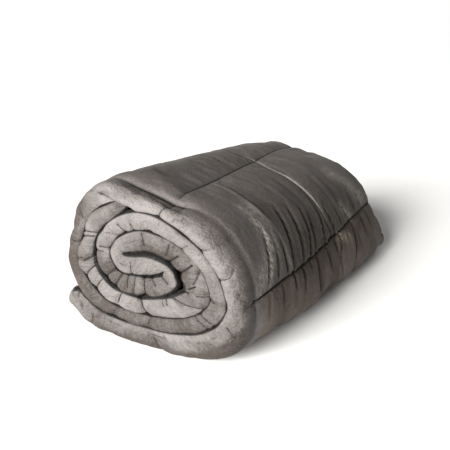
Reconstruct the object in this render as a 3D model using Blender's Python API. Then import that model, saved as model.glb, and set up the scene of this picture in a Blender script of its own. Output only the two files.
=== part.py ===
"""Weighted blanket of quilted velvet, folded to a half-metre strip, doubled and rolled up.

The strip is one padded band. It starts at a loose, rounded lip at the lower left of the
open end, winds inwards for two turns, runs through the core, doubles back in a tight
fold and winds outwards again inside the first leg, until its other end tapers off under
the upper left of the outer turn. The roll lies along Y, its open end towards -Y.
"""

from collections import namedtuple
from math import cos, radians, sin

import bmesh
import bpy
import numpy as np

MM = 0.001

# Roll
ROLL_LENGTH = 500 * MM
CORE_POINT = np.array([0, 112.2 * MM])    # X and Z of the point that the radii start from
TURN_GAP = 2.0 * MM                       # air between two turns
PRESSED_FLAT = 2.5 * MM                   # how far its own weight flattens the underside
SPREAD_FROM, SPREAD_TO = -20 * MM, 130 * MM   # its lower right side spreads, from X to X,
SPREAD_Z, SPREAD_HEIGHT = 10 * MM, 50 * MM    # about this height and over this much of it

# Band
RIM_DEPTH = 12 * MM                       # length of the rounding at both ends of the roll
LIP_LENGTH = 15 * MM                      # rounding of the loose outer end
TAIL_LENGTH = 17 * MM                     # rounding of the inner end
CORNER_SHARE = 0.4                        # share of that length left at the band's corners
ROUNDING_ANGLES = (30, 60)                # degrees, the steps of a rounding before it is full
STATION_STEP = 18.0 * MM                  # spacing of the section's stations
STATION_TURN = radians(22)                # most that the band turns between two stations
SAMPLES = 4000                            # points that the stations are chosen from

# Quilting
SEAM_DEPTH = 4.0 * MM
SEAM_WIDTH = 9 * MM
FIRST_SEAM = 138 * MM                     # from the lip, along the band
SEAM_PITCH = 153 * MM
BORDER_SEAM = 27 * MM                     # from the open end, round the roll
MIDDLE_SEAM = 270 * MM
PRESSED_HEIGHT = 22 * MM                  # seams fade out this near to the ground
BULGE_DEPTHS = [95 * MM, 150 * MM, 205 * MM, 340 * MM, 410 * MM]   # rows between the seams

# Velvet
VELVET = (0.21, 0.195, 0.18)              # linear colour of the warm grey pile
VELVET_ROUGHNESS = 0.85

# How the roll lies along its length: from the open end, in mm, its height and width as
# shares of the open end's, and how far in mm its lower right side has spread.
Lie = namedtuple("Lie", "depth height width spread")
LIES = [
    Lie(0, 1.00, 1.00, 0),
    Lie(50, 1.02, 1.01, 9),
    Lie(120, 1.00, 1.03, 22),
    Lie(200, 0.98, 1.04, 34),
    Lie(300, 0.96, 1.04, 38),
    Lie(400, 0.935, 1.02, 48),
    Lie(500, 0.865, 0.98, 54),
]

# The winding, in mm from the core point, one row for each direction (degrees, from +X
# towards +Z): the roll's outside and the three gaps that the direction crosses.
Winding = namedtuple("Winding", "direction outside gap_1 gap_2 gap_3")
WINDING = [
    Winding(210, 152.0, 113.7, 88.1, 61.3),
    Winding(225, 139.0, 99.2, 78.0, 50.3),
    Winding(240, 124.0, 86.4, 69.0, 42.9),
    Winding(270, 112.0, 77.2, 60.9, 37.3),
    Winding(300, 128.0, 86.1, 66.7, 37.2),
    Winding(325, 153.0, 107.5, 83.5, 45.0),
    Winding(345, 150.0, 121.3, 98.0, 57.2),
    Winding(5, 138.0, 108.8, 88.5, 52.3),
    Winding(25, 123.0, 93.0, 73.5, 41.0),
    Winding(45, 107.0, 79.8, 61.7, 31.0),
    Winding(70, 94.5, 75.1, 53.1, 26.0),
    Winding(95, 100.0, 73.9, 51.4, 22.0),
    # from here on the band's inner end lies between gap 1 and gap 2
    Winding(120, 121.0, 90.4, 73.5, 51.6),
    Winding(142, 125.0, 96.6, 75.2, 52.8),
    Winding(165, 123.0, 99.0, 76.6, 52.7),
    Winding(185, 124.0, 104.0, 73.8, 43.5),
]
TAIL_ROWS = 4                             # the rows that the inner end reaches

# The band through the core, in mm from the core point: its outer and its inner face, opposite each other.
Core = namedtuple("Core", "place outer_x outer_z inner_x inner_z")
CORE = [
    Core("left of the core", -63.1, -20.2, -40.1, -8.2),
    Core("under the core", -42.6, -32.7, -29.6, -10.7),
    Core("under the core", -17.6, -35.7, -14.6, -10.8),
    Core("under the core", 10.4, -33.9, 2.4, -9.7),
    Core("under the core", 33.4, -25.2, 17.4, -6.4),
    Core("right bend", 49.4, -16.9, 26.9, -1.7),
    Core("right bend", 55.4, -9.2, 31.2, 4.1),
    Core("right bend", 52.4, -1.2, 32.3, 6.2),
    Core("right bend", 48.4, 6.8, 30.7, 6.7),
    Core("over the core", 40.4, 14.1, 24.4, 0.8),
    Core("over the core", 24.4, 19.8, 9.4, -4.9),
    Core("over the core", 8.4, 22.3, -6.6, -8.2),
    Core("over the core", -11.6, 16.3, -24.6, -8.5),
    Core("fold", -24.1, 13.3, -37.1, -5.9),
    Core("fold", -28.3, 14.6, -45.6, 4.8),
    Core("fold", -28.3, 17.1, -49.4, 15.8),
    Core("fold", -24.1, 18.3, -45.1, 27.3),
    Core("over the fold", -13.6, 20.5, -32.1, 38.8),
]


def smooth_curve(points, at):
    """A centripetal spline through the points, read at fractional point numbers."""
    points = np.vstack([2 * points[0] - points[1], points, 2 * points[-1] - points[-2]])
    span = np.sqrt(np.linalg.norm(np.diff(points, axis=0), axis=1))[:, None]
    i = np.clip(np.floor(at).astype(int), 0, len(points) - 4)
    p0, p1, p2, p3 = (points[i + k] for k in range(4))
    d0, d1, d2 = (span[i + k] for k in range(3))
    leave = d1 * ((p1 - p0) / d0 - (p2 - p0) / (d0 + d1) + (p2 - p1) / d1)
    arrive = d1 * ((p2 - p1) / d1 - (p3 - p1) / (d1 + d2) + (p3 - p2) / d2)
    t = (at - i)[:, None]
    return (
        p1 * (1 - 3 * t**2 + 2 * t**3)
        + leave * (t - 2 * t**2 + t**3)
        + p2 * (3 * t**2 - 2 * t**3)
        + arrive * (t**3 - t**2)
    )


def wound_post(direction, outer, inner):
    """The band's outer and inner face where it is wound between two gaps."""
    angle = radians(direction)
    away = np.array([cos(angle), sin(angle)])
    outer_face = CORE_POINT + away * (outer * MM - TURN_GAP / 2)
    inner_face = CORE_POINT + away * (inner * MM + TURN_GAP / 2)
    return outer_face, inner_face


def band_posts():
    """The band's outer and inner face from the lip to its inner end, a pair for each row."""
    body = WINDING[:-TAIL_ROWS]
    tail = WINDING[-TAIL_ROWS:]
    outer_leg = [wound_post(w.direction, w.outside + TURN_GAP / 2 / MM, w.gap_1) for w in WINDING]
    outer_leg += [wound_post(w.direction, w.gap_1, w.gap_2) for w in body]
    outer_leg += [wound_post(w.direction, w.gap_2, w.gap_3) for w in tail]
    core = [
        (CORE_POINT + np.array(c[1:3]) * MM, CORE_POINT + np.array(c[3:5]) * MM) for c in CORE
    ]
    # beyond the fold the leg runs the other way, with its faces changed over
    inner_leg = [wound_post(w.direction, w.gap_2, w.gap_3) for w in reversed(body)]
    inner_leg += [wound_post(w.direction, w.gap_1, w.gap_2) for w in reversed(tail)]
    posts = outer_leg + core + [(inner, outer) for outer, inner in inner_leg]
    return np.array([p[0] for p in posts]), np.array([p[1] for p in posts])


def band_stations():
    """Stations along the band: outer face, inner face and distance from the lip."""
    outer_posts, inner_posts = band_posts()
    at = np.linspace(0, len(outer_posts) - 1, SAMPLES)
    outer = smooth_curve(outer_posts, at)
    inner = smooth_curve(inner_posts, at)
    across = outer - inner
    turned = np.abs(np.diff(np.unwrap(np.arctan2(across[:, 1], across[:, 0]))))
    outer_step = np.linalg.norm(np.diff(outer, axis=0), axis=1)
    inner_step = np.linalg.norm(np.diff(inner, axis=0), axis=1)
    distance = np.concatenate([[0], np.cumsum((outer_step + inner_step) / 2)])

    # stations lie closer together where the band bends
    effort = np.hypot(np.maximum(outer_step, inner_step) / STATION_STEP, turned / STATION_TURN)
    effort = np.concatenate([[0], np.cumsum(effort)])
    even = np.linspace(0, effort[-1], int(round(effort[-1])) + 1)
    chosen = np.round(np.interp(even, effort, np.arange(SAMPLES))).astype(int)
    return outer[chosen], inner[chosen], distance[chosen]


def rounded_end(outer, inner, length, side):
    """Stations that round off one end of the band; side is -1 at the lip, 1 at the tail."""
    middle, half = (outer + inner) / 2, (outer - inner) / 2
    across = half / np.linalg.norm(half)
    onward = np.array([-across[1], across[0]]) * side
    steps = [radians(a) for a in (*ROUNDING_ANGLES, 90)]
    ends = [middle + onward * length * sin(a) for a in steps]
    halves = [half * cos(a) for a in steps]
    if side < 0:
        ends, halves = ends[::-1], halves[::-1]
    return np.array(ends), np.array(halves)


def depth_rows():
    """Distances from the open end at which each face has a row of points."""
    rim = [RIM_DEPTH * (1 - cos(radians(a))) for a in (*ROUNDING_ANGLES, 90)]
    seams = [seam + shift for seam in (BORDER_SEAM, MIDDLE_SEAM) for shift in (-SEAM_WIDTH, 0, SEAM_WIDTH)]
    far_rim = [ROLL_LENGTH - depth for depth in rim]
    return np.array(sorted(rim + seams + BULGE_DEPTHS + far_rim))


def rim_share(depth):
    """Share of the band's thickness that is left near the ends of the roll."""
    inset = np.minimum(depth, ROLL_LENGTH - depth)
    return np.sqrt(1 - (1 - np.clip(inset / RIM_DEPTH, 0, 1)) ** 2)


def stitching(distance, depth):
    """How far the seams draw the face in, at a distance along the band and a depth."""
    across_roll = np.abs((distance - FIRST_SEAM + SEAM_PITCH / 2) % SEAM_PITCH - SEAM_PITCH / 2)
    round_roll = np.minimum(np.abs(depth - BORDER_SEAM), np.abs(depth - MIDDLE_SEAM))
    return SEAM_DEPTH * np.exp(-((np.minimum(across_roll, round_roll) / SEAM_WIDTH) ** 2))


def settled(x, z, depth):
    """The roll as it lies: lower and wider at the back, and pressed flat underneath."""
    depths, heights, widths, spreads = np.array(LIES).T
    z = z * np.interp(depth / MM, depths, heights)
    x = x * np.interp(depth / MM, depths, widths)
    ramp = np.clip((x - SPREAD_FROM) / (SPREAD_TO - SPREAD_FROM), 0, 1)
    low = np.exp(-(((z - SPREAD_Z) / SPREAD_HEIGHT) ** 2))
    x = x + np.interp(depth / MM, depths, spreads) * MM * low * ramp**2 * (3 - 2 * ramp)
    return x, np.maximum(z - PRESSED_FLAT, 0)


def blanket_rings():
    """One closed ring of points for each station: along the outer face and back inside."""
    outer, inner, distance = band_stations()
    lip, lip_half = rounded_end(outer[0], inner[0], LIP_LENGTH, -1)
    tail, tail_half = rounded_end(outer[-1], inner[-1], TAIL_LENGTH, 1)
    middle = np.vstack([lip, (outer + inner) / 2, tail])
    half = np.vstack([lip_half, (outer - inner) / 2, tail_half])
    distance = np.concatenate([distance[:1].repeat(len(lip)), distance, distance[-1:].repeat(len(tail))])
    anchor = middle.copy()
    anchor[:len(lip)], anchor[-len(tail):] = middle[len(lip)], middle[-len(tail) - 1]
    across = half / np.maximum(np.linalg.norm(half, axis=1), 1e-9)[:, None]

    def row(depth, side):
        share = rim_share(depth)
        reach = CORNER_SHARE + (1 - CORNER_SHARE) * share
        place = anchor + (middle - anchor) * reach
        fade = np.clip((place[:, 1] + side * half[:, 1]) / PRESSED_HEIGHT, 0, 1)
        cut = stitching(distance, depth) * fade * np.clip(np.linalg.norm(half, axis=1) / RIM_DEPTH, 0, 1)
        place = place + side * (half * share - across * cut[:, None] * share)
        x, z = settled(place[:, 0], place[:, 1], depth)
        return np.column_stack([x, np.full(len(x), depth - ROLL_LENGTH / 2), z])

    depths = depth_rows()
    rows = [row(0.0, 0)] + [row(d, 1) for d in depths]
    rows += [row(ROLL_LENGTH, 0)] + [row(d, -1) for d in depths[::-1]]
    return np.stack(rows, axis=1)


def blanket_mesh():
    """The band's rings joined into one closed mesh."""
    rings = blanket_rings()
    rings[:, :, 0] -= (rings[:, :, 0].max() + rings[:, :, 0].min()) / 2
    stations, points = rings.shape[:2]
    depths = (points - 2) // 2

    def vertex(station, point):
        # at its two ends the band has no thickness, so both faces share their points
        point %= points
        if station in (0, stations - 1) and point > depths + 1:
            point = points - point
        return station * points + point

    faces = []
    for s in range(stations - 1):
        for p in range(points):
            corners = [vertex(s, p), vertex(s, p + 1), vertex(s + 1, p + 1), vertex(s + 1, p)]
            faces.append(corners)
    mesh = bpy.data.meshes.new("blanket")
    mesh.from_pydata([tuple(p) for p in rings.reshape(-1, 3)], [], faces)
    return mesh


def velvet():
    """Warm grey short-pile velvet: matt, without metal."""
    material = bpy.data.materials.new("warm grey velvet")
    material.use_nodes = True
    shader = material.node_tree.nodes["Principled BSDF"]
    shader.inputs["Base Color"].default_value = (*VELVET, 1)
    shader.inputs["Roughness"].default_value = VELVET_ROUGHNESS
    shader.inputs["Metallic"].default_value = 0
    return material


def blanket():
    """The whole blanket as one object."""
    mesh = blanket_mesh()
    mesh.materials.append(velvet())
    shape = bmesh.new()
    shape.from_mesh(mesh)
    loose = [v for v in shape.verts if not v.link_faces]
    bmesh.ops.delete(shape, geom=loose, context="VERTS")
    bmesh.ops.triangulate(shape, faces=shape.faces)
    bmesh.ops.recalc_face_normals(shape, faces=shape.faces)
    shape.to_mesh(mesh)
    shape.free()
    mesh.shade_smooth()
    mesh.set_sharp_from_angle(angle=radians(50))
    item = bpy.data.objects.new("blanket", mesh)
    bpy.context.collection.objects.link(item)
    return item


def main():
    for item in list(bpy.data.objects):
        bpy.data.objects.remove(item)
    blanket()


if __name__ == "__main__":
    main()
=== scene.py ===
"""Weighted blanket of quilted velvet, doubled and rolled up, lying on a pale floor.

The blanket is one padded band wound into a roll along Y. Its surface is laid out on a grid of
distance along the band and depth from the open end, given its seams, gathers and creases,
swelled as cloth under pressure and welded into one mesh in the place of the CAD solid.
"""

from collections import namedtuple
from math import cos, pi, radians, sin

import bmesh
import bpy
import numpy as np
from bpy.props import FloatProperty, PointerProperty, StringProperty
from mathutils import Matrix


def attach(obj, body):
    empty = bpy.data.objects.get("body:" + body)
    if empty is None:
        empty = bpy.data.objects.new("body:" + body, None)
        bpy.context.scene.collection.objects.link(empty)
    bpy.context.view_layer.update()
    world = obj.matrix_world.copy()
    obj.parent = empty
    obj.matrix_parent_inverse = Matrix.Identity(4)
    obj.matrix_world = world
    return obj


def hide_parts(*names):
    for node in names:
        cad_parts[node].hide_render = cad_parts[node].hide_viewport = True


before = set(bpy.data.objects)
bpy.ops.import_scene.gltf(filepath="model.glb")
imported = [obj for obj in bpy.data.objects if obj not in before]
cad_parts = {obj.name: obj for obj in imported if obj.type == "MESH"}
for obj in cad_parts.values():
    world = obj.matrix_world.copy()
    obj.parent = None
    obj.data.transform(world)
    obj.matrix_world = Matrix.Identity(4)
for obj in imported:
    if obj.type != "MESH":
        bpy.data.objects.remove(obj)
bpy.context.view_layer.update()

bl_info = {
    "name": "Rolled weighted blanket",
    "version": (1, 0, 0),
    "blender": (4, 5, 0),
    "location": "3D View > Sidebar > Blanket",
    "description": "Builds a rolled-up weighted blanket of quilted velvet and its stage",
    "category": "Add Mesh",
}

MM = 0.001
TINY = 1e-9  # keeps a division clear of zero

# Roll
ROLL_LENGTH = 500 * MM
CORE_X = -18.64 * MM  # the core lies left of the roll's middle
CORE_POINT = np.array([0, 112.2 * MM])  # X and Z of the point that the radii start from
TURN_GAP = 1.0 * MM
PRESSED_FLAT = 2.5 * MM  # how far its own weight flattens the underside
SPREAD_FROM, SPREAD_TO = -20 * MM, 130 * MM
SPREAD_Z, SPREAD_HEIGHT = 10 * MM, 50 * MM

# Band
RIM_DEPTH = 4.6 * MM  # length of the rounding of the band's edges
RIM_POWER = 2.5  # 2 is an ellipse, more is a flatter edge
LONG_POWER = 2.2  # the same where the rounding is long
LONG_RISE = 8 * MM  # how much longer it is where that holds in full
FAR_ROUNDING, FAR_SHIFT = 0.3, 0.1  # shares of the outer edge's form at the far end
FRONT_DEPTH = 0.4 * MM  # depth of the first row of a face
LIP_LENGTH = 16 * MM  # rounding of the loose outer end
TAIL_LENGTH = 27 * MM  # rounding of the inner end
CORNER_SHARE = 0.4  # share of that length left at the band's corners
VISIBLE_LENGTH = 705 * MM  # the outer turn, along the band from the lip

# Grid
STATION_STEP = 4.0 * MM
FINE_STEP = 1.3 * MM  # stations and rows at creases and seams
STATION_TURN = radians(6)
SAMPLES = 16000
FACE_STEP = 3.4 * MM  # spacing of the rows on the faces
FRONT_ROWS = 9  # rows across the flat of an edge
FAR_ROWS = 3  # the same at the far end
LEAST_STEP, FAR_LEAST_STEP = 0.4 * MM, 1.0 * MM
ROW_GROWTH, SEAM_GROWTH = 0.33, 0.3  # how fast the rows spread out from an end or a seam
BEYOND_SEAM = 2 * MM  # the rows are closest together this far past a seam
CREASE_MARGIN, SEAM_MARGIN = 2.5 * MM, 4 * MM  # fine stations run on this far past each
FACE_OFFSET = 20 * MM  # added to the depth in the band's own map
COARSE_ROWS = 23  # one row in this many is kept on hidden faces
HIDDEN_FROM = 20 * MM  # depth from which the inner turns are hidden
OBLIQUE_FROM = 20 * MM  # a crease that runs this far along is an oblique one
WELD = 0.02 * MM

# Quilting
FIRST_SEAM = 138 * MM  # from the lip, along the band
SEAM_PITCH = 153 * MM
SEAM_DRIFT = 0.13  # the seams lie this much further apart at the back
BORDER_SEAM = 27 * MM  # from the open end, round the roll
MIDDLE_SEAM = 268 * MM
SEAM_BOW, SEAM_BOW_AT, SEAM_BOW_SPAN = 14 * MM, 370 * MM, 75 * MM
MOST_BOW = 1.6 * SEAM_BOW
PUFF_DROP = 1.5  # puff heights from the plain curve to a crossing
PUFF_ALONG, PUFF_ROUND = 14 * MM, 16 * MM
STRONG_FROM, STRONG_RISE = 16 * MM, 12 * MM  # depth at which the strong seam begins
BORDER_WIDTH = 5 * MM
SINK_FROM, SINK_RISE = -1 * MM, 6 * MM  # how the sunk border meets the first puff
FACE_FADE, FACE_INSET = 35 * MM, 12 * MM  # lengths over which the outer face's relief begins

# Rims
FULL_THICKNESS = 9 * MM  # half thickness from which the relief is full
RIM_FADE = 7 * MM  # how far past the rounding a rim's relief reaches
UNROLLED = 0.7  # share of the inset that counts as width of a rim
NOISE_SHIFT = 0.3  # keeps distances across the band above 0, metres
PAST_FACE = 5 * MM  # how far a crease runs on past a face that it meets
FAR_CREASES, FAR_STATIONS = 0.7, 40  # creases at the far end: shallower, and moved on
BULGE, INNER_BULGE, CORE_BULGE = 1.4 * MM, 0.9 * MM, 1.2 * MM
CORE_BULGE_AT = 1400  # over the core, in mm along the band
STAND_FADE = 30 * MM  # how deep into the roll a rim's stand is felt
GROUND_FROM, PRESSED_HEIGHT = -4 * MM, 26 * MM  # relief fades out this near to the ground

# Cloth
SWELL_FRAMES = 14
MOST_MOVE = 5 * MM  # the most that a point may swell
SEWN_WIDTH, SEWN_HOLD = 3 * MM, 0.9
HELD_DEPTH, HELD_RISE = 14 * MM, 8 * MM  # where the cloth is held inside the roll
ON_GROUND = 0.3 * MM
LOOSE_WIDTH, LOOSE_RISE = 95 * MM, 90 * MM
RIM_LOOSE, RIM_LOOSE_DEPTH = 0.3, 30 * MM
FOLD_REACH = 6 * MM  # longer edges of the mesh tell nothing of a fold
CLOTH = dict(
    quality=3, mass=0.25, tension_stiffness=12, compression_stiffness=12, shear_stiffness=4,
    bending_stiffness=0.3, use_pressure=True, vertex_group_shrink="loose",
    vertex_group_mass="held")

# Camera: place in metres, degrees down and round, lens for a 36 mm wide frame
CAMERA_PLACE = (0.4146, -0.8250, 0.3985)
CAMERA_PITCH = 17.9
CAMERA_TURN = 28.9
CAMERA_LENS = 49.6

# How the roll lies, by depth in mm: its height and width as shares, and how far its right
# side spreads at the floor, in mm.
Lie = namedtuple("Lie", "depth height width spread")
LIES = [Lie(*row) for row in (
    (0, 1.00, 1.00, 0),
    (50, 1.02, 1.01, 9),
    (120, 1.00, 1.03, 22),
    (200, 0.98, 1.04, 34),
    (300, 0.96, 1.04, 38),
    (400, 0.935, 1.02, 48),
    (500, 0.865, 0.98, 50),
)]

# Waves of the roll's foot on its right side: how far it stands out, by depth, in mm.
Foot = namedtuple("Foot", "depth out")
FEET = [Foot(*row) for row in (
    (0, 0), (80, 0), (100, -6), (122, -4), (145, 0), (178, 0), (208, -6), (240, -8), (268, -5),
    (300, 0), (340, -2), (365, 2), (400, -1), (500, 0),
)]

# The winding, in mm from the core point, one row for each direction (degrees, from +X
# towards +Z): the roll's outside and the three gaps that the direction crosses.
Winding = namedtuple("Winding", "direction outside gap_1 gap_2 gap_3")
WINDING = [Winding(*row) for row in (
    (210, 152.0, 113.7, 88.1, 61.3),
    (225, 139.0, 99.2, 78.0, 50.3),
    (240, 124.0, 86.4, 69.0, 42.9),
    (270, 112.0, 77.2, 60.9, 37.3),
    (300, 128.0, 86.1, 66.7, 37.2),
    (325, 153.0, 107.5, 83.5, 45.0),
    (345, 150.0, 121.3, 98.0, 57.2),
    (5, 138.0, 108.8, 88.5, 52.3),
    (25, 123.0, 93.0, 73.5, 41.0),
    (45, 107.0, 79.8, 61.7, 31.0),
    (70, 94.5, 75.1, 53.1, 26.0),
    (95, 100.0, 73.9, 51.4, 22.0),
    # from here on the band's inner end lies between gap 1 and gap 2
    (120, 121.0, 90.4, 73.5, 51.6),
    (142, 125.0, 96.6, 75.2, 52.8),
    (165, 123.0, 99.0, 76.6, 52.7),
    (185, 124.0, 104.0, 73.8, 43.5),
)]
TAIL_ROWS = 4

# The band through the core, in mm from the core point: its two faces, opposite each other.
Core = namedtuple("Core", "outer_x outer_z inner_x inner_z")
CORE = [Core(*row) for row in (
    (-63.1, -20.2, -40.1, -8.2),
    (-42.6, -32.7, -29.6, -10.7),
    (-17.6, -35.7, -14.6, -10.8),
    (10.4, -33.9, 2.4, -9.7),
    (33.8, -26.2, 17.4, -6.4),
    (47.0, -16.6, 26.5, -1.7),
    (51.6, -9.0, 30.2, 2.6),
    (48.9, -1.8, 30.6, 4.2),
    (45.4, 5.2, 28.9, 4.6),
    (38.4, 12.0, 23.6, 0.0),
    (23.8, 17.8, 9.4, -4.9),
    (8.4, 20.2, -6.6, -8.2),
    (-11.6, 16.6, -24.6, -8.5),
    (-24.1, 15.2, -37.1, -5.9),
    (-28.6, 15.6, -45.6, 4.8),
    (-28.6, 16.8, -49.4, 15.8),
    (-24.6, 17.8, -45.1, 27.3),
    (-13.6, 20.5, -32.1, 38.8),
)]

# Creases across the band's rim at the open end. Distance along the band in mm, place
# across it from -1 (inner face) to 1 (outer face), then depth and half width in mm.
Crease = namedtuple("Crease", "start across_start end across_end depth width")
CREASES = [Crease(*row) for row in (
    # lip and lowest turn
    (32, -0.3, 42, 0.9, 1.2, 3.0),
    (134, -0.3, 139, 1.1, 2.0, 2.6),
    (40, -0.5, 250, -0.6, 1.2, 4.5),
    (262, -0.4, 255, 0.5, 2.0, 3.5),
    # right side of the outer turn
    (325, -1.1, 330, 0.0, 1.6, 2.6),
    (330, 0.0, 346, 1.0, 1.4, 3.0),
    (305, 0.7, 316, 0.1, 1.0, 4.0),
    (372, -1.0, 370, -0.3, 1.2, 2.6),
    # top and upper left of the outer turn
    (452, -1.2, 446, 1.3, 2.2, 3.0),
    (525, -0.8, 548, 0.4, 1.6, 3.4),
    (528, -0.8, 560, 1.1, 1.6, 3.6),
    (590, -0.9, 584, 0.3, 1.2, 3.4),
    (625, -1.0, 628, 0.1, 1.2, 3.4),
    # second turn: bottom, right, top, left
    (749, -0.9, 752, 0.6, 1.8, 4.0),
    (812, -1.1, 805, 0.2, 1.4, 4.0),
    (888, -1.1, 884, 1.1, 2.4, 3.0),
    (898, -1.1, 893, 1.1, 2.4, 3.0),
    (1005, -1.1, 1005, 0.1, 1.6, 3.5),
    (1087, -1.1, 1090, -0.3, 2.0, 3.0),
    (1103, -1.1, 1110, 0.1, 2.4, 3.2),
    (1114, -1.1, 1134, 0.5, 1.8, 4.0),
    (1147, -1.1, 1154, 0.3, 2.6, 3.4),
    (1158, -0.3, 1163, 1.0, 2.4, 3.4),
    (930, -1.0, 957, -1.0, 2.0, 3.0),
    (928, -1.1, 924, -0.5, 3.0, 2.8),
    # third turn: under the core
    (1187, -1.1, 1194, 1.1, 2.4, 4.0),
    (1204, -1.1, 1207, 1.1, 2.6, 4.0),
    (1217, -1.1, 1223, 0.3, 2.2, 3.6),
    (1234, -1.0, 1231, 0.8, 2.0, 4.0),
    (1251, -1.1, 1243, 1.1, 4.2, 4.2),
    (1264, -1.1, 1267, -0.2, 2.4, 3.6),
    (1283, -1.1, 1284, 0.1, 2.4, 4.0),
    (1361, 0.3, 1350, -1.1, 1.6, 4.0),
    # back over the core
    (1436, -0.7, 1441, 0.3, 3.0, 3.6),
    (1470, -0.6, 1479, 0.5, 1.6, 3.0),
    (1488, -0.2, 1492, 1.1, 2.6, 3.4),
    (1518, 1.1, 1504, -0.5, 3.6, 3.8),
    (1531, 0.0, 1539, 0.6, 2.6, 3.0),
    (1545, 0.6, 1549, 1.1, 2.6, 3.0),
    # the fold at the right end of the core
    (1506, -1.0, 1515, -0.6, 3.0, 3.0),
    (1515, -0.6, 1529, 0.1, 2.2, 3.0),
    (1536, -1.0, 1542, -0.1, 1.8, 3.0),
    (1553, -1.1, 1559, -0.5, 3.6, 3.6),
    (1559, -0.5, 1567, 0.0, 3.6, 3.6),
    (1567, 0.0, 1573, 0.8, 3.2, 3.6),
    (1582, 1.1, 1590, 0.3, 2.2, 3.4),
    (1592, 0.9, 1597, 0.2, 1.6, 3.2),
    # lowest turn of the inner leg, and up its left side
    (1638, 1.1, 1624, -1.1, 4.4, 4.6),
    (1672, 1.1, 1666, -0.7, 2.8, 3.8),
    (1708, 0.9, 1695, -1.1, 2.4, 4.0),
    (1730, 0.8, 1713, -1.1, 2.8, 4.0),
    (1741, -0.3, 1736, -1.1, 2.4, 3.4),
    (1737, -0.2, 1747, 1.0, 3.6, 3.8),
    (1765, -1.1, 1776, 0.6, 2.6, 3.2),
    (1772, -1.1, 1784, 0.8, 2.8, 3.2),
)]

# The outer turn's edge at the open end, by distance along the band: how far its outer face
# rolls over along the roll, the share of the half thickness by which the front of the edge is
# moved to the inner face, how deep the border seam lies, and how far the border sinks. In mm.
Edge = namedtuple("Edge", "distance length shift border sink")
EDGES = [Edge(*row) for row in (
    (-20, 12, 0, 0.4, 0),
    (100, 14, 0, 0.6, 0),
    (220, 18, 0.05, 0.8, 0),
    (265, 26, 0.20, 1.2, 0),
    (285, 34, 0.35, 1.8, 0),
    (320, 38, 0.45, 1.0, 0),
    (345, 40, 0.45, 0, 0),
    (400, 38, 0.42, 0, 0),
    (420, 32, 0.30, 0.8, 1.2),
    (434, 26, 0.15, 2.2, 5.0),
    (470, 20, 0, 2.6, 5.8),
    (505, 18, 0, 2.4, 5.0),
    (530, 17, 0, 0.8, 1.2),
    (560, 16, 0, 0.2, 0),
    (620, 14, 0, 0, 0),
    (650, 8, 0, 0, 0),
    (1900, 8, 0, 0, 0),
)]

# How far the edge stands out of the roll's end, by distance along the band, in mm.
Stand = namedtuple("Stand", "distance out")
STANDS = [Stand(*row) for row in (
    (-20, 1.0), (40, 2.5), (230, 2.0), (320, 0.5), (400, 0), (1120, 0), (1200, 1.5),
    (1300, 2.5), (1400, 1.5), (1480, 0), (1900, 0),
)]

# Light and shade painted along the edge at the open end, with the lie of the pile in it, by
# distance along the band in mm: 1 is light, -1 is dark.
Pile = namedtuple("Pile", "distance lie")
PILE_AND_PAINTED_LIGHT = [Pile(*row) for row in (
    (0, -0.1), (60, -0.65), (100, -0.67), (150, -0.36), (180, 0.16), (220, -0.66), (270, -0.4),
    (310, -0.4), (340, 0.14), (380, -0.4), (420, 0.03), (465, 0.6), (500, -0.02), (540, 0.45),
    (580, -1), (620, -0.95), (660, -1.6), (700, -1), (780, -1.1), (820, -0.7), (860, -1.15),
    (900, -0.55), (940, -0.35), (980, 0.25), (1030, 0.24), (1060, 0.4), (1100, 0.6),
    (1145, 0.2), (1180, -0.83), (1220, -0.73), (1260, -0.65), (1300, 0), (1340, 0.07),
    (1390, 0.15), (1440, -0.53), (1480, -1.07), (1505, -0.43), (1540, -0.6), (1580, 0.25),
    (1620, 0.1), (1660, 0.35), (1700, 0.34), (1745, -0.4), (1780, 0.25), (1810, -0.2),
    (1850, -0.65),
)]

# Wrinkles that the strong seam gathers. Distance along the band and depth from the open end
# where each starts and where it meets the seam, then how deep and how wide it is, in mm.
Gather = namedtuple("Gather", "start depth_start end depth_end deep width")
GATHERS = [Gather(*row) for row in (
    # above the seam
    (366, 86, 304, 62, 1.8, 3.0),
    (362, 99, 304, 88, 2.2, 3.0),
    (372, 110, 302, 113, 4.0, 3.4),
    (386, 154, 302, 127, 4.2, 3.4),
    (380, 180, 302, 160, 4.2, 3.6),
    (370, 208, 302, 185, 3.8, 3.0),
    (362, 222, 302, 201, 3.4, 2.8),
    (376, 263, 302, 242, 5.2, 3.8),
    (345, 254, 302, 228, 1.8, 2.4),
    (352, 280, 302, 290, 4.0, 3.0),
    (348, 312, 304, 322, 2.6, 2.6),
    (354, 330, 306, 366, 2.8, 3.0),
    (350, 392, 308, 404, 2.2, 3.2),
    (344, 430, 310, 446, 1.8, 3.0),
    # below it
    (256, 58, 292, 60, 1.4, 3.0),
    (262, 94, 292, 96, 1.8, 2.8),
    (276, 129, 298, 129, 3.6, 2.6),
    (264, 152, 298, 157, 3.8, 2.8),
    (276, 178, 298, 180, 2.0, 2.6),
    (246, 199, 302, 205, 4.8, 3.4),
    (262, 248, 302, 245, 3.8, 3.2),
    (266, 282, 302, 287, 3.0, 3.0),
    (266, 290, 306, 305, 4.0, 3.0),
    (274, 330, 304, 334, 2.0, 2.8),
    (254, 344, 306, 371, 4.6, 3.4),
    (268, 408, 308, 416, 2.4, 3.0),
    (268, 446, 310, 452, 2.0, 3.0),
)]

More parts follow.
